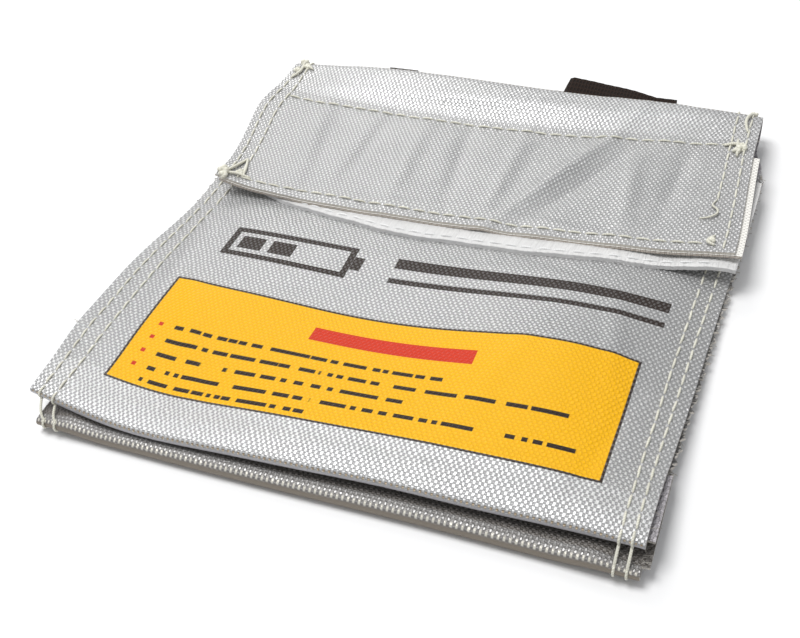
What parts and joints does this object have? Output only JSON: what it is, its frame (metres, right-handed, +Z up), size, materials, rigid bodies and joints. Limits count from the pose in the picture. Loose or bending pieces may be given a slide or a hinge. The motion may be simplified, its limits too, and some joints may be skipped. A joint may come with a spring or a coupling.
{
  "type": "battery charging sack",
  "caption": "Flat fire-resistant cloth sack for model batteries, closed by a hook-and-loop flap, with a bottom gusset that opens and a webbing carry strap.",
  "frame": {"origin": "middle of the back panel's underside, on the surface that the sack lies on", "axes": "+X along the sack's width, to the right; +Y from the bottom folds to the top fold; +Z up, away from the back panel"},
  "size_m": [0.18, 0.2065, 0.0113],
  "materials": {
    "silver_cloth": "coated woven glass cloth, silver, satin",
    "printed_cloth": "coated woven glass cloth, silver, satin, with a yellow print",
    "lining": "plain woven glass cloth, off-white, matt",
    "loop_tape": "white brushed loop pile",
    "hook_tape": "cream woven tape with small hooks",
    "thread": "cream twisted sewing thread",
    "webbing": "ribbed black-brown webbing"
  },
  "bodies": {
    "root": {"back_panel": "silver_cloth", "back_lining": "lining", "side_seam_left": "silver_cloth", "side_seam_right": "silver_cloth", "seam_thread_left_outer": "thread", "seam_thread_left_inner": "thread", "seam_thread_right_outer": "thread", "seam_thread_right_inner": "thread", "strap_tab_left": "webbing", "strap_tab_right": "webbing", "strap_tack_left": "thread", "strap_tack_right": "thread"},
    "flap": {"flap_cloth": "silver_cloth", "flap_lining": "lining", "hook_strip": "hook_tape", "hook_thread_bottom": "thread", "hook_thread_top": "thread", "flap_side_thread_left": "thread", "flap_side_thread_right": "thread", "corner_tack_top_left": "thread", "corner_tack_low_left": "thread", "corner_tack_top_right": "thread", "loose_thread_end": "thread"},
    "mouth": {"mouth_panel": "silver_cloth", "mouth_lining": "lining", "mouth_hem_thread": "thread", "loop_strip": "loop_tape", "loop_strip_thread": "thread"},
    "belly": {"front_panel": "printed_cloth", "front_lining": "lining"},
    "gusset_lower": {"gusset_lower_ply": "silver_cloth"},
    "gusset_upper": {"gusset_upper_ply": "silver_cloth"},
    "handle": {"handle_strap": "webbing"}
  },
  "joints": [
    {"name": "flap_hinge", "type": "hinge", "parent": "root", "child": "flap", "pos_m": [0, 0.0905, 0.0059], "axis": [-1, 0, 0], "range_deg": [0, 150]},
    {"name": "mouth_lift", "type": "hinge", "parent": "root", "child": "mouth", "pos_m": [0, 0.00605, 0.0063], "axis": [1, 0, 0], "range_deg": [0, 10.5]},
    {"name": "belly_lift", "type": "hinge", "parent": "root", "child": "belly", "pos_m": [0, 0.00605, 0.0063], "axis": [-1, 0, 0], "range_deg": [0, 9]},
    {"name": "gusset_lower_fold", "type": "hinge", "parent": "root", "child": "gusset_lower", "pos_m": [0, -0.09475, 0.00225], "axis": [1, 0, 0], "range_deg": [0, 18.5]},
    {"name": "gusset_upper_fold", "type": "hinge", "parent": "root", "child": "gusset_upper", "pos_m": [0, -0.04102, 0.01099], "axis": [-1, 0, 0], "range_deg": [0, 18.5]},
    {"name": "handle_pull", "type": "slide", "parent": "root", "child": "handle", "axis": [0, 1, 0], "range_m": [0, 0.012]}
  ],
  "couplings": [
    {"joint": "mouth_lift", "follows": "flap_hinge", "ratio": 0.066667},
    {"joint": "gusset_lower_fold", "follows": "belly_lift", "ratio": 2},
    {"joint": "gusset_upper_fold", "follows": "belly_lift", "ratio": 2}
  ]
}
